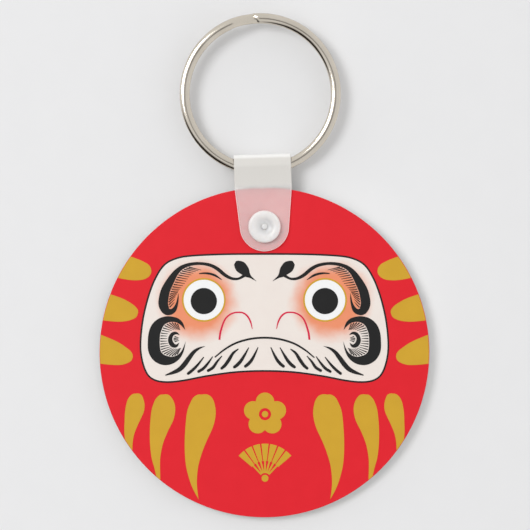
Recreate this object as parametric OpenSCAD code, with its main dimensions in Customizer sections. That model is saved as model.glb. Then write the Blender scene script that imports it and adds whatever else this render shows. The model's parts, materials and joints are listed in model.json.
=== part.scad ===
// Round key tag printed with a daruma face, on a snap strap and a split ring.
//
// The tag lies flat in the XY plane with its printed face up and its ring towards +Y.
// The lowest point, the underside of the rear snap head, is at z = 0, and the origin is
// below the middle of the whole part's outline. All sizes are in millimetres.

/* [Tag] */
// Diameter of the round tag
tag_d = 57.15; // [45:0.05:75]
// Thickness of the board between its two coatings
board_t = 2.1; // [1.2:0.1:4]
// Thickness of each coating
film_t = 0.1; // [0.05:0.01:0.3]
// Bevel round the rim of each coating
rim_bevel = 0.08; // [0.02:0.01:0.1]
// Diameter of the hole that the snap goes through
hole_d = 4.76; // [4:0.02:6]
// Distance from the rim of the tag to the middle of that hole
hole_inset = 6.8; // [5:0.1:9]

/* [Strap] */
// Width of the strap
strap_w = 9.9; // [8:0.1:13]
// Thickness of the strap
strap_t = 0.5; // [0.3:0.05:0.9]
// Radius of the round end about the snap
strap_end_r = 4.25; // [3.5:0.05:4.9]
// Distance from the snap to the middle of the loop
loop_reach = 10.5; // [9.5:0.1:14]
// Clearance between the strap and each face of the tag
strap_gap = 0.15; // [0.1:0.01:0.4]
// Turn of the strap about the snap at rest
rest_swing = 1.8; // [-5:0.1:5]

/* [Snap] */
// Diameter of both snap heads
head_d = 5.6; // [5.2:0.1:7.5]
// Thickness of the front head
front_head_t = 0.9; // [0.6:0.05:1.5]
// Thickness of the rear head
rear_head_t = 0.7; // [0.5:0.05:1.5]
// Diameter of the post through the strap
post_d = 3; // [2.6:0.1:3.4]
// Diameter of the pin in the middle of the front head
pin_d = 1.1; // [0.8:0.05:1.6]
// Diameter of the dish round the pin
dish_d = 3.2; // [2.4:0.1:4]
// Depth of the dish
dish_depth = 0.45; // [0.2:0.05:0.5]
// Clearance between the sleeve and the hole in the tag
sleeve_gap = 0.1; // [0.02:0.01:0.3]
// Clearance between the pieces of the snap and the strap
snap_gap = 0.03; // [0.01:0.01:0.06]

/* [Split ring] */
// Outside diameter of the ring
ring_d = 28; // [22:0.5:36]
// Width of the wire across the ring
wire_w = 1.75; // [1.2:0.05:2.4]
// Thickness of the wire in each turn
wire_t = 0.82; // [0.6:0.02:1.2]
// Gap between the two turns
turn_gap = 0.02; // [0.01:0.01:0.06]
// Clearance between the ring and the inside of the loop
loop_gap = 0.14; // [0.1:0.01:0.4]
// Direction of the step from one turn to the other
step_at = 103; // [60:1:300]
// Angle that the step takes
step_span = 18; // [12:1:30]
// Angle between the step and each cut end
end_gap = 1.5; // [1:0.5:4]

/* [Print] */
// Thickness of one layer of ink
ink_t = 0.04; // [0.02:0.01:0.05]
// Width of the line round the face
outline_w = 0.3; // [0.2:0.02:0.7]
// Radius of the eyes inside their rims
eye_r = 3.5; // [2.5:0.1:4]
// Width of the rim round each eye
eye_rim_w = 0.28; // [0.1:0.05:0.5]
// Radius of the pupils
pupil_r = 2.27; // [1.5:0.01:3]
// Width of the fine hairs
hair_w = 0.21; // [0.08:0.01:0.25]
// Number of hairs inside each eyebrow
brow_hairs = 19; // [8:1:40]
// Number of hairs inside each cheek curl
curl_hairs = 22; // [8:1:36]

/* [Hidden] */
$fn = 96;
tiny = 0.001;

// The tag, measured from its centre on its middle plane
tag_r = tag_d / 2;
face_z = board_t / 2 + film_t;
snap_y = tag_r - hole_inset;

// The print is drawn for this diameter and grows with the tag.
art_d = 57.15;
art = tag_d / art_d;

// The snap and the strap, measured from the snap's centre on the tag's middle plane
inner_z = face_z + strap_gap;
outer_z = inner_z + strap_t;
mid_z = outer_z + rear_head_t;
post_r = post_d / 2;
pin_r = pin_d / 2;
pin_round = 0.12;
pin_top = outer_z + front_head_t - dish_depth + 0.3;
sleeve_r = hole_d / 2 - sleeve_gap;
head_round = 0.35;
head_bevel = 0.12;
dish_bevel = 0.1;

// The ring, which is threaded through the loop
ring_r = ring_d / 2;
bore_r = ring_r - wire_w;
turn_z = (wire_t + turn_gap) / 2;
near_bore = sqrt(bore_r * bore_r - strap_w * strap_w / 4);
ring_reach = (ring_r + near_bore) / 2;
ring_y = loop_reach + ring_reach;
wire_points = 24;
wire_power = 2.8;
step_slices = 10;
step_thinner = 0.015;

// The loop is as small as the ring's swing through it allows.
swing_r = max([for (p = wire_section(0)) for (x = [0, strap_w / 2])
    norm([ring_reach - sqrt(p[0] * p[0] - x * x), abs(p[1]) + turn_z])]);
loop_r = swing_r + loop_gap;

// Seen from the side, each leg is tangent to the loop and bends at the rim of the tag.
leg_bend = [hole_inset, inner_z];
leg_lean = tangent_angle(leg_bend - [loop_reach, 0], loop_r) - 90;
loop_steps = 40;
end_steps = 30;

// The origin is below the middle of the outline.
ring_top = snap_y + ring_y * cos(rest_swing) + ring_r;
tag_y = (tag_r - ring_top) / 2;

// ---- Curves ----

function mirrored(points) = [for (p = points) [-p[0], p[1]]];
function reversed(list) = [for (i = [len(list) - 1:-1:0]) list[i]];
function inner_items(list) = [for (i = [1:len(list) - 2]) list[i]];
function unit(v) = v / norm(v);
function left_of(v) = [-v[1], v[0]];
function flipped(v) = [v[0], -v[1]];

// A point between b and c on the smooth curve through a, b, c and d
function between(a, b, c, d, t) =
    (2 * b + (c - a) * t + (2 * a - 5 * b + 4 * c - d) * t * t
        + (3 * b - a - 3 * c + d) * t * t * t) / 2;

// The smooth open curve through some points, with a few steps for each stretch
function curve(p, steps) =
    let (n = len(p) - 1)
    concat([for (i = [0:n - 1]) for (s = [0:steps - 1])
        between(i == 0 ? 2 * p[0] - p[1] : p[i - 1], p[i], p[i + 1],
            i == n - 1 ? 2 * p[n] - p[n - 1] : p[i + 2], s / steps)], [p[n]]);

// The smooth closed curve through some points
function loop_curve(p, steps) =
    let (n = len(p))
    [for (i = [0:n - 1]) for (s = [0:steps - 1])
        between(p[(i + n - 1) % n], p[i], p[(i + 1) % n], p[(i + 2) % n], s / steps)];

// A closed outline moved inwards by d, where the outline runs anticlockwise
function inset(p, d) =
    let (n = len(p))
    [for (i = [0:n - 1]) p[i] + d * left_of(unit(p[(i + 1) % n] - p[(i + n - 1) % n]))];

// A brush stroke is a list of [x, y, width]. Its outline goes up one side of the curve
// through them, round the end and back down the other side.
function heading(c, i) =
    let (a = c[max(i - 1, 0)], b = c[min(i + 1, len(c) - 1)]) unit([b[0] - a[0], b[1] - a[1]]);
function beside(c, i, side) =
    [c[i][0], c[i][1]] + side * c[i][2] / 2 * left_of(heading(c, i));
function round_end(c) =
    let (n = len(c) - 1, h = heading(c, n), r = c[n][2] / 2, at = [c[n][0], c[n][1]])
    r < 0.02 ? [at] : [for (a = [75:-30:-75]) at + r * (h * cos(a) + left_of(h) * sin(a))];
function stroke(p, steps = 4) =
    let (c = curve(p, steps), n = len(c) - 1)
    concat(
        c[0][2] < 0.04 ? [[c[0][0], c[0][1]]] : [],
        [for (i = [0:n]) if (c[i][2] >= 0.04) beside(c, i, 1)],
        round_end(c),
        [for (i = [n:-1:0]) if (c[i][2] >= 0.04) beside(c, i, -1)]);

// The tangent from a point to a circle about the origin touches it at this angle.
function tangent_angle(p, r) = atan2(p[1], p[0]) - acos(r / norm(p));

// The strap's loop from the side, from where the upper leg meets it to the lower leg
function loop_arc(r) = [for (i = [0:loop_steps])
    let (a = 90 + leg_lean - i * (180 + 2 * leg_lean) / loop_steps)
    [loop_reach, 0] + r * [cos(a), sin(a)]];

// ---- The print's outlines: the left half, from the tag's centre ----

panel_half = [[0, 17.05], [-7, 17], [-12.5, 16.75], [-15.2, 16.3], [-17.3, 15.2], [-18.8, 13],
    [-20, 10], [-21, 6], [-21.45, 2], [-21.3, -0.8], [-20.5, -3.4], [-19.2, -4.7],
    [-17, -5.13], [-14, -4.85], [-10, -4.08], [-5, -3.4], [0, -3.2]];
panel = loop_curve(concat(panel_half, reversed(mirrored(inner_items(panel_half)))), 4);

eye = [-10.5, 9.1];
pupil = [-10.5, 8.9];

brow_blob = [[-5.1, 15.5, 0.7], [-4.75, 15.3, 1.4], [-4.15, 14.85, 2], [-3.5, 14.2, 1.75],
    [-3, 13.55, 1.15], [-2.45, 13.1, 0.45], [-1.9, 12.7, 0.2], [-1.35, 12.3, 0]];
brow_arc = [[-3.2, 13.5, 0.6], [-4.3, 12.85, 0.4], [-5.1, 12.73, 0.45], [-5.9, 12.9, 0.5],
    [-6.9, 13.45, 0.6], [-8.1, 14.45, 0.62], [-9.4, 15.12, 0.55], [-11, 15.4, 0.5],
    [-12.5, 15.33, 0.55], [-13.6, 15.05, 0.62], [-14.5, 14.6, 0.75], [-15.4, 13.75, 0.98],
    [-16.25, 12.45, 1.3], [-17.08, 10.85, 1.55], [-17.45, 9.4, 1.66], [-17.5, 8.2, 1.65],
    [-17, 7.2, 1.4], [-16.25, 7.03, 1], [-15.6, 7.45, 0.75], [-15.17, 8.4, 0.4],
    [-14.97, 9.4, 0.22], [-14.9, 10.3, 0]];
crease = [[-11.3, 13.66, 0.16], [-10.3, 13.73, 0.3], [-9.3, 13.6, 0.38], [-8.4, 13.26, 0.36],
    [-7.4, 12.6, 0.1]];

curl = [[-13.72, 3.9, 0], [-14.3, 4.9, 0.5], [-15, 5.5, 0.75], [-15.95, 5.75, 0.9],
    [-16.9, 5.7, 1.14], [-17.9, 5.25, 1.49], [-18.62, 4.42, 1.87], [-19.05, 3.3, 2],
    [-19.17, 1.9, 2.05], [-19.1, 0.5, 2.1], [-18.65, -0.55, 1.95], [-17.8, -1.2, 1.8],
    [-16.9, -1.4, 1.6], [-15.95, -1.33, 1.2], [-15.05, -0.88, 0.8], [-14.45, -0.25, 0.5],
    [-14, 0.65, 0.25], [-13.65, 1.9, 0]];
small_curl = [[-14.65, 3, 0], [-15.3, 3.35, 0.45], [-15.95, 3.15, 0.6], [-16.3, 2.5, 0.7],
    [-16.25, 1.8, 0.8], [-15.85, 1.25, 0.75], [-15.25, 1.15, 0.5], [-14.75, 1.7, 0]];
curl_eye = [-15.4, 2.3];
small_curl_r = 1.36;
hair_gap = 0.12;
curl_hair_from = 14;
curl_hair_to = 115;
brow_hair_from = 69;
brow_hair_to = 127;
brow_hair_angles = [[0, -13], [0.55, -8], [0.67, 8], [0.78, 28], [0.88, 40], [1, 47]];
brow_hair_lengths = [[0, 2.2], [0.45, 1.75], [0.62, 1.4], [0.7, 1.4], [0.8, 1.65], [0.9, 1.5], [1, 1.2]];

nostril = [[-7.8, 2.2, 0.34], [-7.6, 3.6, 0.32], [-6.95, 5.5, 0.28], [-6.2, 6.4, 0.26],
    [-5.3, 6.85, 0.26], [-4.5, 6.95, 0.26], [-3.7, 6.85, 0.27], [-2.95, 6.3, 0.3],
    [-2.4, 5.3, 0.26], [-2.1, 4.1, 0.1]];
mouth_half = [[-8.6, -0.85, 0.22], [-7, 0.45, 0.3], [-5, 1.6, 0.34], [-2.5, 2.33, 0.34],
    [0, 2.55, 0.34]];
mouth = concat(mouth_half, reversed([for (p = mouth_half) if (p[0] < 0) [-p[0], p[1], p[2]]]));

whiskers = [
    [[-1.1, 0.9, 0.14], [-1.6, -0.2, 0.36], [-2.2, -1.3, 0.52], [-2.8, -2, 0.56], [-3.3, -2.4, 0.5]],
    [[-2.7, 0.85, 0.14], [-3.4, -0.4, 0.4], [-4.1, -1.5, 0.56], [-4.7, -2.15, 0.58], [-5.2, -2.53, 0.5]],
    [[-4.5, 0.6, 0.18], [-5.4, -0.1, 0.44], [-6.1, -1.2, 0.58], [-6.8, -2.2, 0.56], [-7.4, -2.75, 0.48]],
    [[-7.35, -0.6, 0.14], [-8.2, -1.6, 0.4], [-8.9, -2.6, 0.5], [-9.75, -3.15, 0.48]],
    [[-8.95, -0.7, 0.14], [-9.8, -1.9, 0.4], [-10.6, -2.8, 0.5], [-11.4, -3.3, 0.48]],
    [[-10.5, -0.8, 0.16], [-11.6, -2.2, 0.42], [-12.5, -3.1, 0.5], [-13.2, -3.65, 0.48]],
    [[-10.2, 1.1, 0], [-11.3, 0.72, 0.36], [-12.2, 0.1, 0.6], [-13, -0.9, 0.76],
        [-13.8, -2, 0.84], [-14.6, -2.85, 0.78], [-15.6, -3.4, 0.6], [-17.1, -3.93, 0.2]]];

side_bars = [
    [[-19.58, 14.1, 0], [-19.75, 14.1, 1.25], [-20.35, 14.12, 2.5], [-21.5, 14.2, 3.4],
        [-23.3, 14.55, 4], [-26.5, 15.4, 4.4]],
    [[-21.88, 6.9, 0], [-22.05, 6.92, 1.2], [-22.65, 6.95, 2.35], [-23.85, 7.1, 3.45],
        [-25.6, 7.45, 4.3], [-29, 8.2, 5]],
    [[-22.8, -0.75, 0], [-22.97, -0.74, 1.2], [-23.6, -0.68, 2.35], [-24.8, -0.5, 3.45],
        [-26.6, 0, 4.35], [-30, 0.9, 5.3]]];
robe_bars = [
    [[-10.5, -7.25, 0], [-10.5, -7.35, 1.8], [-10.54, -7.75, 3], [-10.64, -8.5, 3.95],
        [-10.86, -10.2, 4.9], [-11.22, -12.2, 4.85], [-11.85, -14.7, 3.95], [-12.3, -17.1, 3.05],
        [-12.52, -19.6, 2.15], [-12.32, -22.1, 1.25], [-11.95, -23.8, 0.65], [-11.4, -25.45, 0]],
    [[-17.25, -7.25, 0], [-17.25, -7.35, 1.4], [-17.28, -7.75, 2.4], [-17.34, -8.5, 3.35],
        [-17.43, -9.7, 4], [-17.72, -11.2, 4], [-18.25, -13.15, 3.25], [-18.7, -15.6, 2.3],
        [-18.8, -18.1, 1.55], [-18.56, -20.1, 0.95], [-18.2, -23, 0.4]],
    [[-22.1, -7.1, 0], [-22.1, -7.2, 1.2], [-22.13, -7.6, 2.1], [-22.27, -8.5, 2.95],
        [-22.43, -9.7, 3.25], [-22.75, -10.9, 2.95], [-23.06, -12.2, 2.4], [-23.36, -13.65, 1.85],
        [-23.46, -15.1, 1.4], [-23.4, -16.6, 1.05], [-23.2, -18.5, 0.8]]];

blossom = [0.1, -10.7];
petal_r = 1.6;
petal_at = 2.15;
blossom_gap_r = 1.05;
blossom_dot_r = 0.55;

fan = [0.1, -21.8];
fan_r = 6;
fan_inner_r = 3;
fan_blades = 7;
fan_blade_angle = 12;
fan_step = 14.5;
fan_rib_w = 0.3;
fan_rib_start = 0.9;
fan_pivot_r = 0.6;

// ---- Placing ----

module on_tag() {
    translate([0, tag_y, mid_z]) children();
}

module on_strap() {
    translate([0, tag_y + snap_y, mid_z]) rotate([0, 0, rest_swing]) children();
}

module both_sides() {
    children();
    mirror([1, 0, 0]) children();
}

// One layer of ink, with the number of layers below it
module ink(below) {
    on_tag() translate([0, 0, face_z + below * ink_t]) linear_extrude(ink_t) children();
}

// Ink that runs off the rim of the tag is cut where the coating's bevel starts.
module trimmed_ink() {
    intersection() {
        ink(0) children();
        on_tag() cylinder(r = tag_r - rim_bevel, h = face_z + 4 * ink_t);
    }
}

module drawn(points) {
    polygon(art * points);
}

// ---- Tag ----

// A flat round slice of the tag with the snap's hole, and a bevel round its upper rim
module tag_slice(t, bevel) {
    difference() {
        rotate_extrude()
            polygon([[0, 0], [tag_r, 0], [tag_r, t - bevel], [tag_r - bevel, t], [0, t]]);
        translate([0, snap_y, -1]) cylinder(d = hole_d, h = t + 2);
    }
}

module tag_board() {
    color("ivory") on_tag() difference() {
        translate([0, 0, -board_t / 2]) cylinder(r = tag_r, h = board_t);
        translate([0, snap_y, -board_t]) cylinder(d = hole_d, h = 2 * board_t);
    }
}

module front_film() {
    color("#E43037") on_tag() translate([0, 0, board_t / 2]) tag_slice(film_t, rim_bevel);
}

module back_film() {
    color("white") on_tag() mirror([0, 0, 1])
        translate([0, 0, board_t / 2]) tag_slice(film_t, rim_bevel);
}

// ---- Ink ----

module ink_cream() {
    color("#EFE6DF") ink(0) drawn(inset(panel, outline_w / 2));
}

// One blade of the fan with its rib, pointing at an angle from the fan's pivot
module fan_blade(angle) {
    translate([0, 0, face_z]) translate(art * fan) rotate([0, 0, angle]) {
        rotate([0, 0, -fan_blade_angle / 2]) rotate_extrude(angle = fan_blade_angle)
            translate([art * fan_inner_r, 0])
                square([art * (fan_r - fan_inner_r), ink_t]);
        translate([art * fan_rib_start, -art * fan_rib_w / 2, 0])
            cube([art * (fan_inner_r - fan_rib_start) + tiny, art * fan_rib_w, ink_t]);
    }
}

module fan_ornament() {
    on_tag() for (i = [0:fan_blades - 1])
        fan_blade(90 + fan_step * (i - (fan_blades - 1) / 2));
    ink(0) translate(art * fan) circle(r = art * fan_pivot_r);
}

module blossom_ornament() {
    ink(0) translate(art * blossom) difference() {
        union() {
            for (i = [0:4])
                rotate([0, 0, 90 + 72 * i]) translate([art * petal_at, 0])
                    circle(r = art * petal_r);
        }
        circle(r = art * blossom_gap_r);
    }
    ink(0) translate(art * blossom) circle(r = art * blossom_dot_r);
}

module eye_rim() {
    ink(1) translate(art * eye) difference() {
        circle(r = art * (eye_r + eye_rim_w));
        circle(r = art * eye_r);
    }
}

module ink_gold() {
    color("#D2A637") {
        both_sides() for (bar = concat(side_bars, robe_bars)) trimmed_ink() drawn(stroke(bar));
        both_sides() eye_rim();
        blossom_ornament();
        fan_ornament();
    }
}

module ink_white() {
    color("white") both_sides() ink(1) translate(art * eye) circle(r = art * eye_r);
}

module face_outline() {
    ink(0) difference() {
        drawn(inset(panel, -outline_w / 2));
        drawn(inset(panel, outline_w / 2));
    }
}

module ink_black() {
    color("#2D2D2D") {
        face_outline();
        both_sides() {
            ink(1) drawn(stroke(brow_arc));
            ink(1) drawn(stroke(brow_blob));
            ink(1) drawn(stroke(crease));
            ink(1) drawn(stroke(curl));
            ink(1) drawn(stroke(small_curl));
            for (whisker = whiskers) ink(1) drawn(stroke(whisker));
            ink(2) translate(art * pupil) circle(r = art * pupil_r);
        }
        ink(1) drawn(stroke(mouth));
    }
}

module ink_red() {
    color("#D9304F") both_sides() ink(1) drawn(stroke(nostril));
}

// A hair from a point, at an angle, tapering to its tip
function hair(from, angle, length) =
    let (u = [cos(angle), sin(angle)], root = left_of(u) * hair_w / 2, to = from + length * u)
    [from + root, from - root, to - root / 3, to + root / 3];

// Points spread evenly along a line of points
function spread(points, count) =
    let (last = len(points) - 1,
         steps = [for (i = [0:last]) i == 0 ? 0 : norm(points[i] - points[i - 1])],
         run = [for (i = 0, s = 0; i <= last; i = i + 1, s = s + (i > last ? 0 : steps[i])) s])
    [for (i = [0:count - 1])
        let (s = run[last] * i / max(count - 1, 1))
        [for (axis = [0, 1]) lookup(s, [for (k = [0:last]) [run[k], points[k][axis]]])]];

// The inner edge of a stroke from one of its steps to another, moved in a little so that
// the hairs on it stay clear of the stroke
function hair_line(stroke_line, from, to) =
    [for (k = [from:to])
        beside(stroke_line, k, 1) + hair_gap * left_of(heading(stroke_line, k))];

// Hairs grow from the inner edge of the eyebrow. They turn from nearly level at its top to
// steep in the hook at its end, and are shortest where the hook begins.
module brow_hair_set() {
    roots = spread(hair_line(curve(brow_arc, 8), brow_hair_from, brow_hair_to), brow_hairs);
    for (i = [0:brow_hairs - 1]) {
        along = i / max(brow_hairs - 1, 1);
        length = lookup(along, brow_hair_lengths);
        ink(1) drawn(hair(roots[i], lookup(along, brow_hair_angles), length));
    }
}

// Hairs grow from the inner edge of the cheek curl and lean towards its opening. They stop
// where they meet or pass the small curl inside it.
module curl_hair_set() {
    roots = spread(hair_line(curve(curl, 8), curl_hair_from, curl_hair_to), curl_hairs);
    for (i = [0:curl_hairs - 1]) {
        side = 2 * i / max(curl_hairs - 1, 1) - 1;
        angle = side < 0 ? -68 * pow(-side, 1.6) : 61 * pow(side, 1.2);
        way = [cos(angle), sin(angle)];
        ahead = (curl_eye - roots[i]) * way;
        aside = norm(curl_eye - roots[i] - ahead * way);
        stop_r = small_curl_r + 0.4 * sqrt(abs(side));
        length = min(ahead - sqrt(max(stop_r * stop_r - aside * aside, 0)), 2.4);
        ink(1) drawn(hair(roots[i], angle, length));
    }
    for (rise = [-0.45, -0.15, 0.15, 0.45])
        ink(1) drawn(hair(curl_eye + [rise * rise - 0.35, rise], -40 * rise, 0.8));
}

module ink_hairs() {
    color("#2D2D2D") both_sides() {
        brow_hair_set();
        curl_hair_set();
    }
}

// ---- Strap ----

// A shape from the side, stood up in the YZ plane and given the strap's width along X
module across_strap() {
    rotate([90, 0, 90]) translate([0, 0, -strap_w / 2]) linear_extrude(strap_w) children();
}

// The strap from the side. Each leg leaves the loop along a tangent and bends flat at the
// rim of the tag.
module strap_side() {
    end_inside = [-strap_end_r, inner_z];
    end_outside = [-strap_end_r, outer_z];
    outer_bend = leg_bend + [-strap_t * tan(leg_lean / 2), strap_t];
    polygon(concat(
        [end_inside, leg_bend], loop_arc(loop_r),
        [flipped(leg_bend), flipped(end_inside), flipped(end_outside), flipped(outer_bend)],
        reversed(loop_arc(loop_r + strap_t)), [outer_bend, end_outside]));
}

// The strap from above narrows from the rim of the tag to its round end.
module strap_plan() {
    turn = tangent_angle([strap_w / 2, hole_inset], strap_end_r);
    round_part = [for (i = [0:end_steps])
        let (a = turn - i * (180 + 2 * turn) / end_steps) strap_end_r * [cos(a), sin(a)]];
    reach = loop_reach + loop_r + 2 * strap_t;
    polygon(concat([[-strap_w, reach], [strap_w, reach], [strap_w, hole_inset],
        [strap_w / 2, hole_inset]], round_part, [[-strap_w / 2, hole_inset],
        [-strap_w, hole_inset]]));
}

module strap() {
    color("gainsboro", 0.6) on_strap() difference() {
        intersection() {
            across_strap() strap_side();
            translate([0, 0, -2 * outer_z]) linear_extrude(4 * outer_z) strap_plan();
        }
        translate([0, 0, -2 * outer_z]) cylinder(r = post_r + snap_gap, h = 4 * outer_z);
    }
}

// ---- Snap ----

// A round edge as the points of a quarter circle, from the side to the top
function quarter(at, r) = [for (a = [0:18:90]) at + r * [cos(a), sin(a)]];

// The front head has a dish in its top, with a hole for the pin.
module snap_socket() {
    floor_z = front_head_t - dish_depth;
    color("whitesmoke") on_strap() translate([0, 0, outer_z]) rotate_extrude()
        polygon(concat(
            [[pin_r + snap_gap, 0], [head_d / 2 - head_bevel, 0], [head_d / 2, head_bevel]],
            quarter([head_d / 2 - head_round, front_head_t - head_round], head_round),
            [[dish_d / 2 + dish_bevel, front_head_t], [dish_d / 2, front_head_t - dish_bevel],
             [dish_d / 2, floor_z], [pin_r + snap_gap, floor_z]]));
}

// The rear head carries the sleeve that the tag turns on, the post and the pin.
module snap_stud() {
    color("whitesmoke") on_strap() rotate_extrude()
        polygon(concat(
            [[0, -mid_z], [head_d / 2 - head_bevel, -mid_z], [head_d / 2, head_bevel - mid_z]],
            quarter([head_d / 2 - head_bevel, -outer_z - head_bevel], head_bevel),
            [[post_r, -outer_z], [post_r, -inner_z], [sleeve_r, -inner_z],
             [sleeve_r, inner_z], [post_r, inner_z], [post_r, outer_z], [pin_r, outer_z],
             [pin_r, pin_top - pin_round], [pin_r - pin_round, pin_top], [0, pin_top]]));
}

// ---- Split ring ----

// The section of the wire at a height, rounded at its edges and nearly flat on its faces,
// as [distance from the ring's axis, height]
function rounded(v) = sign(v) * pow(abs(v), 2 / wire_power);
function wire_section(z, thinner = 0) =
    [for (i = [0:wire_points - 1]) let (a = 360 * (i + 0.5) / wire_points)
        [ring_r - wire_w / 2 + (wire_w / 2 - thinner) * rounded(cos(a)),
         z + (wire_t / 2 - thinner) * rounded(sin(a))]];

// One turn, from where the step or its own cut end starts
module ring_turn(z, start) {
    rotate([0, 0, start]) rotate_extrude(angle = 360 - step_span - end_gap)
        polygon(wire_section(z));
}

// The step carries the wire from the lower turn up to the upper one in a smooth bend. It
// is a hair thinner than the turns, and its ends are buried in theirs.
function step_height(t) = turn_z * (6 * t * t - 4 * t * t * t - 1);
module ring_step(from_angle) {
    rings = [for (i = [-1:step_slices + 1])
        let (a = from_angle + i * step_span / step_slices,
             z = step_height(min(max(i / step_slices, 0), 1)))
        [for (p = wire_section(z, step_thinner)) [p[0] * cos(a), p[0] * sin(a), p[1]]]];
    m = wire_points;
    last = len(rings) - 1;
    polyhedron(
        points = [for (ring = rings) for (p = ring) p],
        faces = concat(
            [[for (j = [m - 1:-1:0]) j]],
            [for (i = [0:last - 1]) for (j = [0:m - 1])
                [i * m + j, i * m + (j + 1) % m, (i + 1) * m + (j + 1) % m, (i + 1) * m + j]],
            [[for (j = [0:m - 1]) last * m + j]]));
}

module split_ring() {
    step_start = step_at - step_span / 2;
    step_end = step_at + step_span / 2;
    color("silver") on_strap() translate([0, ring_y, 0]) {
        ring_turn(-turn_z, step_end + end_gap);
        ring_turn(turn_z, step_end);
        ring_step(step_start);
    }
}

tag_board();
front_film();
back_film();
ink_cream();
ink_gold();
ink_white();
ink_black();
ink_hairs();
ink_red();
strap();
snap_socket();
snap_stud();
split_ring();
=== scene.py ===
"""The looks of a round printed key tag, its snap strap and its split ring."""
import json
import math

import bmesh
import bpy
from mathutils import Matrix, Vector


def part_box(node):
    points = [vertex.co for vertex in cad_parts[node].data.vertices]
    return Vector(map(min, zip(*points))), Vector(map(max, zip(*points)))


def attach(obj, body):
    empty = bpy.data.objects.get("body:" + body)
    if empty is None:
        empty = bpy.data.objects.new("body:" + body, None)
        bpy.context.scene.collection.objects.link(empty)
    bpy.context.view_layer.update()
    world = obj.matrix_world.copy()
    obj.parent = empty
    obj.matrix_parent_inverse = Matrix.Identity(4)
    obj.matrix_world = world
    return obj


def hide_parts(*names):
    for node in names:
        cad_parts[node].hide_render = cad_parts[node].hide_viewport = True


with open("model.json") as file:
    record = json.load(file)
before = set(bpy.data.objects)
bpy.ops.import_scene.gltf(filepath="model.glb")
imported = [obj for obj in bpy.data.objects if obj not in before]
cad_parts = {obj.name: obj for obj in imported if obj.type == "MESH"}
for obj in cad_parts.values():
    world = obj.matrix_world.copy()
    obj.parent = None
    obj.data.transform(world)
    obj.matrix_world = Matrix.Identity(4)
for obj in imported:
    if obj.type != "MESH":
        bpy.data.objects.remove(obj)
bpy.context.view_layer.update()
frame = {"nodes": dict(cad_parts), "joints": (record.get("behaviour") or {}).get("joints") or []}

MM = 0.001


# ---- Sizes and places of the part, in millimetres ----

def middle(node):
    """The middle of a node's box."""
    low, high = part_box(node)
    return (low + high) / 2 / MM


def joint_named(name):
    return next(joint for joint in frame["joints"] if joint["name"] == name)


TAG = middle("tag_board")
SNAP = Vector(joint_named("snap_swivel")["pos_m"]) / MM
RING = middle("split_ring")
FLIP_AXIS = joint_named("ring_flip")["axis"]
STRAP_TURN = math.atan2(FLIP_AXIS[1], FLIP_AXIS[0])

# The round tag: a board with a coat on each side
TAG_RADIUS = 28.575
HOLE_RADIUS = 2.38
BOARD_THICK = 2.1
COAT_THICK = 0.1
RIM_ROUNDING = 0.08
BOARD_ROUNDING = 0.02
ROUND_STEPS = 288

# The strap, measured from the snap's middle. Its bend is where it leaves the tag's rim.
STRAP_WIDTH = 9.9
STRAP_THICK = 0.5
STRAP_END_RADIUS = 4.25
STRAP_BEND = (6.8, 1.3)
STRAP_EDGE = 0.17
LOOP_MIDDLE = 10.5
LOOP_RADIUS = 1.6276
LOOP_LEAN = math.radians(5.1608)
POST_HOLE_RADIUS = 1.53

# The snap. The front head has a dish with the pin's hole in it, and the rear head has a
# small recess in the middle of its underside.
HEAD_RADIUS = 2.8
FRONT_HEAD = 0.9
REAR_HEAD = 0.7
HEAD_SHOULDER = 0.36
HEAD_EDGE = 0.12
DISH_RIM_RADIUS = 1.7
DISH_FLOOR_RADIUS = 1
DISH_DEPTH = 0.45
DISH_RIM_ROUNDING = 0.45
DISH_FLOOR_ROUNDING = 0.4
POST_RADIUS = 1.5
PIN_RADIUS = 0.55
PIN_HOLE_RADIUS = 0.56
PIN_RISE = 0.27
PIN_ROUNDING = 0.25
SLEEVE_RADIUS = 2.28
SLEEVE_EDGE = 0.05
RECESS_RADIUS = 0.9
RECESS_FLOOR_RADIUS = 0.7
RECESS_DEPTH = 0.12
RECESS_EDGE = 0.05
STRAP_FACE = 1.8

# The split ring. Angles are in degrees, and a fullness of 2 would be an elliptical wire.
RING_RADIUS = 14
WIRE_WIDE = 1.75
WIRE_THICK = 0.82
WIRE_FULLNESS = 2.08
TURN_HEIGHT = 0.42
STEP_FROM = 94
STEP_SPAN = 18
STEP_PARTS = 12
CUT_GAP = 1.5
CUT_SLANT = 1.6
CUT_CLOSED = 1.0
CUT_ROUNDING = 0.06


# ---- Colours and nodes ----

def colour(hex_value):
    """An sRGB hex value as linear colour with full alpha."""
    values = [int(hex_value[i:i + 2], 16) / 255 for i in (1, 3, 5)]
    return [v / 12.92 if v <= 0.04045 else ((v + 0.055) / 1.055) ** 2.4 for v in values] + [1]


def add(tree, kind, values=None, links=None, **settings):
    """Adds a node with its settings, its sockets' values and what is linked into them."""
    node = tree.nodes.new(kind)
    for name, value in settings.items():
        setattr(node, name, value)
    for socket, value in (values or {}).items():
        node.inputs[socket].default_value = value
    for socket, source in (links or {}).items():
        tree.links.new(source, node.inputs[socket])
    return node


def new_material(name):
    """A material with an empty node tree."""
    material = bpy.data.materials.new(name)
    material.use_nodes = True
    material.node_tree.nodes.clear()
    return material, material.node_tree


def finish_material(tree, shader):
    add(tree, "ShaderNodeOutputMaterial", links={"Surface": shader.outputs[0]})


def place_of(tree):
    """The place on the piece, in metres."""
    return add(tree, "ShaderNodeTexCoord").outputs["Object"]


def spots(tree, place, size, detail=2.0, stretch=(1, 1, 1)):
    """Soft noise whose spots are about this many millimetres across."""
    moved = add(tree, "ShaderNodeMapping", {"Scale": stretch}, {"Vector": place})
    return add(tree, "ShaderNodeTexNoise", {"Scale": 1 / (size * MM), "Detail": detail},
               {"Vector": moved.outputs[0]}).outputs["Fac"]


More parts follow.
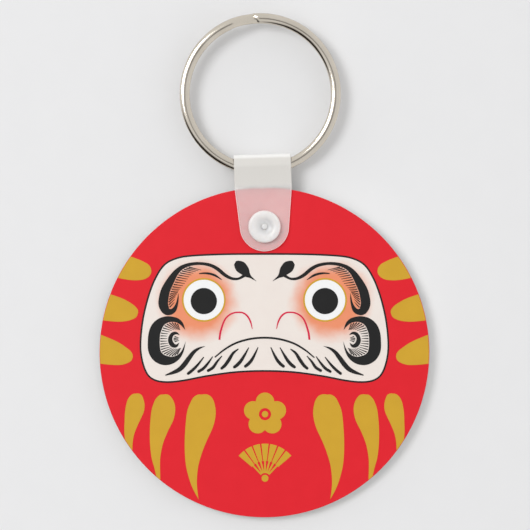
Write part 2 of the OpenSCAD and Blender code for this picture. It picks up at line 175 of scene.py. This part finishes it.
def between(tree, factor, low, high):
    """A number that runs from low to high where the noise does its usual run."""
    return add(tree, "ShaderNodeMapRange",
               {"From Min": 0.3, "From Max": 0.7, "To Min": low, "To Max": high},
               {"Value": factor}).outputs[0]


def tinted(tree, factor, first, second):
    """A colour that runs from the first to the second, each a colour or an output."""
    ends = {6: first, 7: second}
    fixed = {i: end for i, end in ends.items() if isinstance(end, (list, tuple))}
    linked = {i: end for i, end in ends.items() if i not in fixed}
    return add(tree, "ShaderNodeMix", fixed, {0: factor, **linked},
               data_type="RGBA").outputs[2]


def bumped(tree, height, depth):
    """A normal raised by a height from 0 to 1, which is this many millimetres deep."""
    return add(tree, "ShaderNodeBump", {"Distance": depth * MM, "Strength": 1.0},
               {"Height": height}).outputs[0]


# ---- Materials ----

# The blush is centred beside each eye, this far from the tag's centre, and fades out from
# one radius to another, all in millimetres.
BLUSH_AT = (11.6, 8.9)
BLUSH_FULL = 4.3
BLUSH_END = 7.9

# The strap turns milky between two distances from the snap, up to a share of each face's
# light. There its colour is a painted grey shade, and between two more distances along the fold
# it turns to a painted near-white highlight. Distances are in millimetres.
MILKY_FROM = 6.4
MILKY_TO = 7.5
MILKY_LOOP = 0.95
FOLD_HIGHLIGHT_FROM = 11.7
FOLD_HIGHLIGHT_TO = 12.3


def colour_lay(tree, place):
    """How thick a printed colour lies, from 0 to 1, in soft patches."""
    return between(tree, spots(tree, place, 3.5, 3), 0, 1)


def soft_coat(tree, place, base):
    """Finishes a print as a hard coat, with a fine orange peel that softens its gloss."""
    shader = add(tree, "ShaderNodeBsdfPrincipled",
                 {"IOR": 1.46, "Specular IOR Level": 0.25},
                 {"Base Color": base,
                  "Roughness": between(tree, spots(tree, place, 1.4), 0.41, 0.51),
                  "Normal": bumped(tree, spots(tree, place, 0.7, 1), 0.006)})
    finish_material(tree, shader)


def printed_coat(name, hex_value, shade_value):
    """One colour of the print, in the hard coat of the blank. It lies a little unevenly."""
    material, tree = new_material(name)
    place = place_of(tree)
    soft_coat(tree, place, tinted(tree, colour_lay(tree, place), colour(hex_value),
                                  colour(shade_value)))
    return material


def airbrushed_cream():
    """Cream print with an orange blush round each eye. The blush is full beside the eye and
    fades out softly, with the slight unevenness of a spray."""
    material, tree = new_material("Cream print with sprayed blush, soft gloss coat")
    place = place_of(tree)
    centred = add(tree, "ShaderNodeVectorMath", {1: TAG * MM}, {0: place}, operation="SUBTRACT")
    folded = add(tree, "ShaderNodeVectorMath", links={0: centred.outputs[0]},
                 operation="ABSOLUTE")
    eye_x = add(tree, "ShaderNodeSeparateXYZ", links={0: folded.outputs[0]}).outputs[0]
    eye_y = add(tree, "ShaderNodeSeparateXYZ", links={0: centred.outputs[0]}).outputs[1]
    flat = add(tree, "ShaderNodeCombineXYZ", links={0: eye_x, 1: eye_y})
    away = add(tree, "ShaderNodeVectorMath", {1: (BLUSH_AT[0] * MM, BLUSH_AT[1] * MM, 0)},
               {0: flat.outputs[0]}, operation="DISTANCE").outputs["Value"]
    drift = between(tree, spots(tree, place, 2.5), -0.35 * MM, 0.35 * MM)
    uneven = add(tree, "ShaderNodeMath", links={0: away, 1: drift}, operation="ADD").outputs[0]
    blush = add(tree, "ShaderNodeMapRange",
                {"From Min": BLUSH_FULL * MM, "From Max": BLUSH_END * MM,
                 "To Min": 1, "To Max": 0},
                {"Value": uneven}, interpolation_type="SMOOTHSTEP").outputs[0]
    lay = colour_lay(tree, place)
    cream = tinted(tree, lay, colour("#EDE4DC"), colour("#EBE1D9"))
    orange = tinted(tree, lay, colour("#EE946E"), colour("#EA8F68"))
    soft_coat(tree, place, tinted(tree, blush, cream, orange))
    return material


def cut_board():
    """White glass-fibre board, routed out. Its cut edge is satin, with the fine upright
    lines that the cutter leaves and a faint yellowing between them."""
    material, tree = new_material("White glass-fibre board, routed edge")
    place = place_of(tree)
    lines = spots(tree, place, 0.3, 3, (1, 1, 0.08))
    shader = add(tree, "ShaderNodeBsdfPrincipled",
                 {"IOR": 1.53, "Subsurface Weight": 0.15,
                  "Subsurface Radius": (0.6 * MM, 0.5 * MM, 0.4 * MM),
                  "Subsurface Scale": 1.0},
                 {"Base Color": tinted(tree, between(tree, lines, 0, 1), colour("#EDEAE4"),
                                       colour("#E3E0D7")),
                  "Roughness": between(tree, lines, 0.42, 0.6),
                  "Normal": bumped(tree, lines, 0.03)})
    finish_material(tree, shader)
    return material


def frosted_vinyl(name, milkiness, roughness):
    """Soft PVC sheet, calendered with a frosted face. Each face turns back some of the light
    and lets the rest straight through, so print shows pale behind it. The sheet is stretched
    milky where it bends round the ring. Its colour there is painted grey, a painted shade, and
    turns to a painted highlight along the fold."""
    material, tree = new_material(name)
    place = place_of(tree)
    haze = between(tree, spots(tree, place, 1.8, 3), -1, 1)
    from_snap = add(tree, "ShaderNodeVectorMath", {1: SNAP * MM}, {0: place},
                    operation="SUBTRACT").outputs[0]
    up = (-math.sin(STRAP_TURN), math.cos(STRAP_TURN), 0)
    along = add(tree, "ShaderNodeVectorMath", {1: up}, {0: from_snap},
                operation="DOT_PRODUCT").outputs["Value"]
    uneven = add(tree, "ShaderNodeMath", {1: 0.04 * MM}, {0: haze, 2: along},
                 operation="MULTIPLY_ADD").outputs[0]
    # Milky opacity where the sheet bends round the ring. The same mask switches the colour to
    # the painted grey shade.
    loop_milkiness_and_painted_shade = add(tree, "ShaderNodeMapRange",
               {"From Min": MILKY_FROM * MM, "From Max": MILKY_TO * MM}, {"Value": uneven},
               interpolation_type="SMOOTHSTEP").outputs[0]
    # Painted highlight: where the sheet's colour turns near white along the fold.
    folded = add(tree, "ShaderNodeMapRange",
                 {"From Min": FOLD_HIGHLIGHT_FROM * MM, "From Max": FOLD_HIGHLIGHT_TO * MM}, {"Value": along},
                 interpolation_type="SMOOTHSTEP").outputs[0]
    cloudy = add(tree, "ShaderNodeMath", {1: 0.008, 2: milkiness}, {0: haze},
                 operation="MULTIPLY_ADD").outputs[0]
    solid = add(tree, "ShaderNodeMapRange", {"To Max": MILKY_LOOP}, {"Value": loop_milkiness_and_painted_shade, 3: cloudy})
    # The loop's colour is a painted grey shade that runs to a painted near-white highlight at
    # the fold.
    loop_shade_and_fold_highlight = tinted(tree, folded, colour("#DCD9D3"), colour("#FAF9F6"))
    shader = add(tree, "ShaderNodeBsdfPrincipled", {"IOR": 1.5},
                 {"Base Color": tinted(tree, loop_milkiness_and_painted_shade, colour("#FFFEFC"), loop_shade_and_fold_highlight),
                  "Alpha": solid.outputs[0],
                  "Roughness": between(tree, haze, roughness - 0.05, roughness + 0.05),
                  "Normal": bumped(tree, spots(tree, place, 0.22, 1), 0.008)})
    finish_material(tree, shader)
    return material


def moulded_nylon():
    """Natural nylon, injection moulded. It is milky white with light inside it, and its
    satin face has faint flow marks."""
    material, tree = new_material("Natural nylon, injection moulded")
    place = place_of(tree)
    flow = spots(tree, place, 1.1, 3, (1, 1, 2))
    shader = add(tree, "ShaderNodeBsdfPrincipled",
                 {"IOR": 1.53, "Subsurface Weight": 0.6,
                  "Subsurface Radius": (2.0 * MM, 1.9 * MM, 1.7 * MM),
                  "Subsurface Scale": 1.0},
                 {"Base Color": tinted(tree, between(tree, flow, 0, 1), colour("#ECEAE6"),
                                       colour("#E6E3DF")),
                  "Roughness": between(tree, flow, 0.26, 0.36),
                  "Normal": bumped(tree, flow, 0.012)})
    finish_material(tree, shader)
    return material


def plated_spring_wire():
    """Spring steel wire, flattened and nickel plated. Its bright face is warm grey, with
    drawing lines along the wire and a few hair scratches from keys."""
    material, tree = new_material("Nickel-plated spring steel, drawn")
    place = place_of(tree)
    centred = add(tree, "ShaderNodeVectorMath", {1: RING * MM}, {0: place},
                  operation="SUBTRACT").outputs[0]
    round_it = add(tree, "ShaderNodeTexGradient", links={0: centred},
                   gradient_type="RADIAL").outputs["Fac"]
    axes = add(tree, "ShaderNodeSeparateXYZ", links={0: centred})
    flat = add(tree, "ShaderNodeCombineXYZ", links={0: axes.outputs[0], 1: axes.outputs[1]})
    out = add(tree, "ShaderNodeVectorMath", links={0: flat.outputs[0]},
              operation="LENGTH").outputs["Value"]
    along = add(tree, "ShaderNodeMath", {1: 2 * math.pi * RING_RADIUS * MM}, {0: round_it},
                operation="MULTIPLY").outputs[0]
    unrolled = add(tree, "ShaderNodeCombineXYZ",
                   links={0: along, 1: out, 2: axes.outputs[2]}).outputs[0]
    lines = spots(tree, unrolled, 0.12, 2, (0.02, 1, 1))
    scratches = spots(tree, unrolled, 0.3, 4, (0.12, 1, 1))
    clouds = spots(tree, place, 4, 2)
    worn = add(tree, "ShaderNodeMath", {2: 0.02}, {0: between(tree, lines, 0.08, 0.13),
               1: between(tree, scratches, 0.85, 1.25)}, operation="MULTIPLY_ADD").outputs[0]
    shader = add(tree, "ShaderNodeBsdfPrincipled", {"Metallic": 1},
                 {"Base Color": tinted(tree, between(tree, clouds, 0, 1), colour("#D8D0C3"),
                                       colour("#D0C8BA")),
                  "Roughness": worn,
                  "Normal": bumped(tree, lines, 0.003)})
    finish_material(tree, shader)
    return material


# ---- Shapes ----

def grown(bm, thick):
    """Gives a sheet its thickness."""
    bmesh.ops.solidify(bm, geom=bm.faces[:], thickness=thick)


def rounded(bm, edges, offset, segments=4):
    bmesh.ops.bevel(bm, geom=edges, offset=offset, offset_type="OFFSET", affect="EDGES",
                    segments=segments, profile=0.5, material=-1)


def square_edges(bm, angle=50):
    """The edges where two faces meet at more than an angle."""
    return [edge for edge in bm.edges if edge.calc_face_angle(0) > math.radians(angle)]


def onto_strap(bm):
    """Moves a shape from the strap's own place, about the snap, into the part."""
    bmesh.ops.rotate(bm, verts=bm.verts, cent=(0, 0, 0),
                     matrix=Matrix.Rotation(STRAP_TURN, 3, "Z"))
    bmesh.ops.translate(bm, verts=bm.verts, vec=SNAP)


def make_piece(bm, name, material, body, nodes):
    """Turns a shape in millimetres into a finished piece that stands for some nodes."""
    bmesh.ops.remove_doubles(bm, verts=bm.verts, dist=0.0005)
    bmesh.ops.recalc_face_normals(bm, faces=bm.faces)
    bmesh.ops.scale(bm, verts=bm.verts, vec=(MM, MM, MM))
    for face in bm.faces:
        face.smooth = True
    mesh = bpy.data.meshes.new(name)
    bm.to_mesh(mesh)
    bm.free()
    mesh.materials.append(material)
    piece = bpy.data.objects.new(name, mesh)
    bpy.context.scene.collection.objects.link(piece)
    even = piece.modifiers.new("Even shading", "WEIGHTED_NORMAL")
    even.weight = 100
    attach(piece, body)
    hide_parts(*nodes)
    return piece


def holed_disc(low, high, rounding, sides):
    """A round plate with the snap's hole, from one height to another, and rounded rims on
    the sides given: 1 for the upper face and -1 for the lower one."""
    bm = bmesh.new()
    bmesh.ops.create_circle(bm, segments=ROUND_STEPS, radius=TAG_RADIUS,
                            matrix=Matrix.Translation((TAG.x, TAG.y, high)))
    bmesh.ops.create_circle(bm, segments=ROUND_STEPS, radius=HOLE_RADIUS,
                            matrix=Matrix.Translation((SNAP.x, SNAP.y, high)))
    bmesh.ops.bridge_loops(bm, edges=bm.edges[:])
    grown(bm, high - low)
    lowest = min(vert.co.z for vert in bm.verts)
    bmesh.ops.translate(bm, verts=bm.verts, vec=(0, 0, low - lowest))
    middle_height = (low + high) / 2
    rims = [edge for edge in square_edges(bm)
            if any((edge.verts[0].co.z - middle_height) * side > 0 for side in sides)]
    rounded(bm, rims, rounding)
    return bm


def tag_pieces():
    """The board and its two printed faces."""
    board_low = TAG.z - BOARD_THICK / 2
    board_high = TAG.z + BOARD_THICK / 2
    make_piece(holed_disc(board_low, board_high, BOARD_ROUNDING, (1, -1)), "board_core",
               cut_board(), "tag", ["tag_board"])
    make_piece(holed_disc(board_high, board_high + COAT_THICK, RIM_ROUNDING, (1,)),
               "printed_face",
               printed_coat("Red print, soft gloss coat", "#E11A28", "#DE1826"),
               "tag", ["front_film"])
    make_piece(holed_disc(board_low - COAT_THICK, board_low, RIM_ROUNDING, (-1,)),
               "back_face",
               printed_coat("White print, soft gloss coat", "#EFEFEE", "#EAEAE9"),
               "tag", ["back_film"])


# How squarely a face has to look a way to be counted as facing it, from 0 to 1
LOOKS_IN = 0.7
LOOKS_SIDEWAYS = 0.3


def faces_inwards(face):
    """True for a face of the strap that looks at the tag or into the loop."""
    place = face.calc_center_median()
    core = Vector((place.x, min(place.y, LOOP_MIDDLE), 0))
    return face.normal.dot((core - place).normalized()) > LOOKS_IN


def faces_sideways(face):
    """True for a face of the strap's cut edge or of its rounding."""
    place = face.calc_center_median()
    if abs(face.normal.x) > LOOKS_SIDEWAYS:
        return True
    return place.y < 0 and face.normal.to_2d().length > LOOKS_SIDEWAYS


def strap_piece():
    """The strap: a plate with a round end, a leg and half the loop, mirrored. It is drawn
    about the snap's middle, with the loop's axis across."""
    bm = bmesh.new()
    bend_y, bend_z = STRAP_BEND
    half = STRAP_WIDTH / 2
    far = math.hypot(half, bend_y)
    turn = math.atan2(bend_y, half) - math.acos(STRAP_END_RADIUS / far)
    first = bm.verts.new((STRAP_END_RADIUS * math.cos(turn),
                          STRAP_END_RADIUS * math.sin(turn), bend_z))
    bmesh.ops.spin(bm, geom=[first], cent=(0, 0, bend_z), axis=(0, 0, -1), steps=60,
                   angle=math.pi + 2 * turn)
    ends = [vert for vert in bm.verts if len(vert.link_edges) == 1]
    corners = bmesh.ops.extrude_vert_indiv(bm, verts=ends)["verts"]
    for corner in corners:
        corner.co = Vector((math.copysign(half, corner.co.x), bend_y, bend_z))
    fold = bm.edges.new(corners)
    bmesh.ops.create_circle(bm, segments=48, radius=POST_HOLE_RADIUS,
                            matrix=Matrix.Translation((0, 0, bend_z)))
    bmesh.ops.triangle_fill(bm, edges=bm.edges[:], use_beauty=True)
    leg = bmesh.ops.extrude_edge_only(bm, edges=[fold])["geom"]
    leg_verts = [item for item in leg if isinstance(item, bmesh.types.BMVert)]
    touch = Vector((0, LOOP_MIDDLE - LOOP_RADIUS * math.sin(LOOP_LEAN),
                    LOOP_RADIUS * math.cos(LOOP_LEAN)))
    bmesh.ops.translate(bm, verts=leg_verts, vec=touch - Vector((0, bend_y, bend_z)))
    tip = [item for item in leg if isinstance(item, bmesh.types.BMEdge)]
    bmesh.ops.spin(bm, geom=tip + leg_verts, cent=(0, LOOP_MIDDLE, 0), axis=(-1, 0, 0),
                   steps=16, angle=math.pi / 2 + LOOP_LEAN)
    bmesh.ops.mirror(bm, geom=bm.verts[:] + bm.edges[:] + bm.faces[:],
                     matrix=Matrix.Identity(4), merge_dist=0.001, axis="Z")
    bmesh.ops.remove_doubles(bm, verts=bm.verts, dist=0.002)
    bmesh.ops.recalc_face_normals(bm, faces=bm.faces)
    outward = max(bm.faces, key=lambda face: face.calc_center_median().y)
    grown(bm, STRAP_THICK if outward.normal.y < 0 else -STRAP_THICK)
    bmesh.ops.recalc_face_normals(bm, faces=bm.faces)
    rounded(bm, square_edges(bm), STRAP_EDGE, 3)
    for face in bm.faces:
        if faces_inwards(face):
            face.material_index = 1
        elif faces_sideways(face):
            face.material_index = 2
    onto_strap(bm)
    strap = make_piece(bm, "loop_strap",
                       frosted_vinyl("Frosted PVC sheet, matt outer face", 0.3, 0.4),
                       "strap", ["strap"])
    strap.data.materials.append(frosted_vinyl("Clear PVC sheet, inner face", 0.28, 0.25))
    strap.data.materials.append(frosted_vinyl("Frosted PVC sheet, cut edge", 0.85, 0.5))


def turned(corners, closed):
    """A shape turned about the snap's axis. Each corner is a radius, a height and the
    rounding at it. A closed outline doesn't touch the axis."""
    bm = bmesh.new()
    outline = [bm.verts.new((radius, 0, height)) for radius, height, _ in corners]
    face = bm.faces.new(outline)
    for vert, (_, _, rounding) in zip(outline, corners):
        if rounding:
            bmesh.ops.bevel(bm, geom=[vert], offset=rounding, offset_type="OFFSET",
                            affect="VERTICES", segments=6, profile=0.5, material=-1)
    bmesh.ops.delete(bm, geom=bm.faces[:], context="FACES_ONLY")
    if not closed:
        axis = [edge for edge in bm.edges
                if all(abs(vert.co.x) < 0.001 for vert in edge.verts)]
        bmesh.ops.delete(bm, geom=axis, context="EDGES")
    bmesh.ops.spin(bm, geom=bm.verts[:] + bm.edges[:], cent=(0, 0, 0), axis=(0, 0, 1),
                   steps=96, angle=2 * math.pi, use_merge=True)
    bmesh.ops.remove_doubles(bm, verts=bm.verts, dist=0.001)
    onto_strap(bm)
    return bm


def snap_pieces():
    """The snap's front head with its dish, and the rear head with sleeve, post and pin."""
    nylon = moulded_nylon()
    top = STRAP_FACE + FRONT_HEAD
    dish_floor = top - DISH_DEPTH
    socket = [(PIN_HOLE_RADIUS, STRAP_FACE, 0), (HEAD_RADIUS, STRAP_FACE, HEAD_EDGE),
              (HEAD_RADIUS, top, HEAD_SHOULDER), (DISH_RIM_RADIUS, top, DISH_RIM_ROUNDING),
              (DISH_FLOOR_RADIUS, dish_floor, DISH_FLOOR_ROUNDING),
              (PIN_HOLE_RADIUS, dish_floor, 0)]
    make_piece(turned(socket, True), "snap_front", nylon, "strap", ["snap_socket"])
    inner = STRAP_FACE - STRAP_THICK
    bottom = -STRAP_FACE - REAR_HEAD
    recess = bottom + RECESS_DEPTH
    pin_top = dish_floor + PIN_RISE
    stud = [(0, recess, 0), (RECESS_FLOOR_RADIUS, recess, RECESS_EDGE),
            (RECESS_RADIUS, bottom, RECESS_EDGE), (HEAD_RADIUS, bottom, HEAD_EDGE),
            (HEAD_RADIUS, -STRAP_FACE, HEAD_EDGE), (POST_RADIUS, -STRAP_FACE, 0),
            (POST_RADIUS, -inner, 0), (SLEEVE_RADIUS, -inner, SLEEVE_EDGE),
            (SLEEVE_RADIUS, inner, SLEEVE_EDGE), (POST_RADIUS, inner, 0),
            (POST_RADIUS, STRAP_FACE, 0), (PIN_RADIUS, STRAP_FACE, 0),
            (PIN_RADIUS, pin_top, PIN_ROUNDING), (0, pin_top, 0)]
    make_piece(turned(stud, False), "snap_rear", nylon, "strap", ["snap_stud"])


def softened(value):
    """A number from -1 to 1 pushed a little outwards, which fills out a circle's corners."""
    return math.copysign(abs(value) ** (2 / WIRE_FULLNESS), value)


def ring_piece():
    """The split ring: one flattened wire, wound twice, that steps up to its second turn."""
    bm = bmesh.new()
    start = math.radians(STEP_FROM + STEP_SPAN + CUT_GAP)
    wire = bmesh.ops.create_circle(bm, segments=32, radius=1,
                                   matrix=Matrix.Rotation(math.pi / 2, 4, "X"))["verts"]
    for vert in wire:
        vert.co = Vector((RING_RADIUS - WIRE_WIDE / 2 + softened(vert.co.x) * WIRE_WIDE / 2, 0,
                          softened(vert.co.z) * WIRE_THICK / 2 - TURN_HEIGHT))
    bmesh.ops.rotate(bm, verts=bm.verts, cent=(0, 0, 0), matrix=Matrix.Rotation(start, 3, "Z"))
    end = bm.verts[:] + bm.edges[:]
    turn = math.radians(360 - STEP_SPAN - CUT_GAP)
    shares = [i / STEP_PARTS for i in range(STEP_PARTS + 1)]
    rises = [(3 * share ** 2 - 2 * share ** 3) * 2 * TURN_HEIGHT for share in shares]
    stretches = [(turn, 150, 0)]
    stretches += [(math.radians(STEP_SPAN / STEP_PARTS), 1, rises[i + 1] - rises[i])
                  for i in range(STEP_PARTS)]
    stretches += [(turn, 150, 0)]
    for angle, steps, rise in stretches:
        end = bmesh.ops.spin(bm, geom=end, cent=(0, 0, 0), axis=(0, 0, 1), steps=steps,
                             angle=angle, dvec=(0, 0, rise))["geom_last"]
    for vert in [item for item in end if isinstance(item, bmesh.types.BMVert)]:
        aslant = (vert.co.to_2d().length - RING_RADIUS + WIRE_WIDE / 2) / (WIRE_WIDE / 2)
        vert.co.rotate(Matrix.Rotation(math.radians(CUT_SLANT * aslant + CUT_CLOSED), 3, "Z"))
    bmesh.ops.holes_fill(bm, edges=[edge for edge in bm.edges if edge.is_boundary], sides=0)
    bmesh.ops.recalc_face_normals(bm, faces=bm.faces)
    cut_edges = [edge for face in bm.faces if len(face.verts) > 4 for edge in face.edges]
    rounded(bm, cut_edges, CUT_ROUNDING, 2)
    bmesh.ops.translate(bm, verts=bm.verts, vec=RING)
    make_piece(bm, "key_ring", plated_spring_wire(), "ring", ["split_ring"])


def printed_nodes():
    """The printed shapes keep their own meshes and get their inks."""
    black = printed_coat("Black print, soft gloss coat", "#151515", "#191919")
    inks = {
        "ink_cream": airbrushed_cream(),
        "ink_gold": printed_coat("Gold print, soft gloss coat", "#D0A32B", "#CC9F29"),
        "ink_white": printed_coat("Eye white print, soft gloss coat", "#F4F4F3", "#F1F1F0"),
        "ink_black": black,
        "ink_hairs": black,
        "ink_red": printed_coat("Crimson print, soft gloss coat", "#D71C46", "#D31B44"),
    }
    for node, ink in inks.items():
        mesh = frame["nodes"][node].data
        mesh.materials.clear()
        mesh.materials.append(ink)


# ---- Studio ----

FLOOR_REACH = 3
FLOOR_GAP = 0.05
CAMERA_HEIGHT = 500
CAMERA_ASIDE = 0.1
VIEW_WIDTH = 91.83
SENSOR_WIDTH = 36


def floor():
    """A plain pale sheet of card. It leans a little, because the tag lies on the snap's rear
    head and on its own lower edge."""
    bm = bmesh.new()
    bmesh.ops.create_grid(bm, x_segments=8, y_segments=8, size=FLOOR_REACH)
    head_edge = SNAP.y - HEAD_RADIUS
    rim_height = TAG.z - BOARD_THICK / 2 - COAT_THICK
    lean = math.atan2(rim_height, head_edge - TAG.y + TAG_RADIUS)
    bmesh.ops.rotate(bm, verts=bm.verts, cent=(0, 0, 0), matrix=Matrix.Rotation(-lean, 3, "X"))
    bmesh.ops.translate(bm, verts=bm.verts, vec=(0, head_edge * MM, -FLOOR_GAP * MM))
    mesh = bpy.data.meshes.new("floor")
    bm.to_mesh(mesh)
    bm.free()
    material, tree = new_material("Pale card, matt")
    place = place_of(tree)
    fibre = spots(tree, place, 5, 3)
    shader = add(tree, "ShaderNodeBsdfPrincipled",
                 {"Roughness": 0.9, "Specular IOR Level": 0.1},
                 {"Base Color": tinted(tree, between(tree, fibre, 0, 1), colour("#E7E7E7"),
                                       colour("#E6E6E6"))})
    finish_material(tree, shader)
    mesh.materials.append(material)
    sheet = bpy.data.objects.new("floor", mesh)
    bpy.context.scene.collection.objects.link(sheet)


def direction(azimuth, elevation):
    """A unit vector towards a compass direction, anticlockwise from +X, and a height."""
    a, e = math.radians(azimuth), math.radians(elevation)
    return Vector((math.cos(a) * math.cos(e), math.sin(a) * math.cos(e), math.sin(e)))


# Dark things in the room, which draw the lines along the ring: where each is, how far it
# reaches before it fades out, where it is full, and how dark it is
DARK_THINGS = [
    (228, 26, 42, 25, 1.0),
    (228, 60, 11, 6, 0.6),
    (0, 90, 8, 4, 0.7),
]


def room():
    """A pale room with a dark doorway and shelf on the near left, and a dark camera above."""
    world = bpy.data.worlds.new("Pale room")
    bpy.context.scene.world = world
    world.use_nodes = True
    tree = world.node_tree
    tree.nodes.clear()
    way = add(tree, "ShaderNodeTexCoord").outputs["Generated"]
    height = add(tree, "ShaderNodeSeparateXYZ", links={0: way}).outputs[2]
    up = add(tree, "ShaderNodeMapRange", {"From Min": 0, "From Max": 1}, {"Value": height})
    shade = tinted(tree, up.outputs[0], (0.92, 0.92, 0.92, 1), (0.82, 0.82, 0.83, 1))
    for azimuth, elevation, fades, full, darkness in DARK_THINGS:
        toward = add(tree, "ShaderNodeVectorMath", {1: direction(azimuth, elevation)},
                     {0: way}, operation="DOT_PRODUCT").outputs["Value"]
        dark = add(tree, "ShaderNodeMapRange",
                   {"From Min": math.cos(math.radians(fades)),
                    "From Max": math.cos(math.radians(full)), "To Min": 0,
                    "To Max": darkness}, {"Value": toward}, interpolation_type="SMOOTHSTEP")
        shade = tinted(tree, dark.outputs[0], shade, (0.02, 0.015, 0.012, 1))
    seen = add(tree, "ShaderNodeLightPath").outputs["Is Camera Ray"]
    shown = tinted(tree, seen, shade, (0.79, 0.79, 0.79, 1))
    background = add(tree, "ShaderNodeBackground", {"Strength": 1.0}, {"Color": shown})
    add(tree, "ShaderNodeOutputWorld", links={"Surface": background.outputs[0]})


def soft_light(name, azimuth, elevation, distance, size, power, tint):
    """A square softbox that faces the tag."""
    data = bpy.data.lights.new(name, "AREA")
    data.shape = "SQUARE"
    data.size = size
    data.energy = power
    data.color = colour(tint)[:3]
    lamp = bpy.data.objects.new(name, data)
    bpy.context.scene.collection.objects.link(lamp)
    lamp.location = direction(azimuth, elevation) * distance
    lamp.rotation_euler = (-lamp.location).to_track_quat("-Z", "Y").to_euler()


def camera():
    """The camera looks straight down and sees VIEW_WIDTH of the face's plane."""
    data = bpy.data.cameras.new("Camera")
    data.sensor_width = SENSOR_WIDTH
    face = TAG.z + BOARD_THICK / 2 + COAT_THICK
    data.lens = SENSOR_WIDTH * (CAMERA_HEIGHT - face) / VIEW_WIDTH
    eye = bpy.data.objects.new("Camera", data)
    bpy.context.scene.collection.objects.link(eye)
    eye.location = (CAMERA_ASIDE * MM, 0, CAMERA_HEIGHT * MM)
    bpy.context.scene.camera = eye


tag_pieces()
printed_nodes()
strap_piece()
snap_pieces()
ring_piece()
floor()
room()
soft_light("Softbox", azimuth=152, elevation=61, distance=1.2, size=0.42, power=5.1,
           tint="#FEFEFF")
camera()
bpy.context.scene.view_settings.view_transform = "Standard"
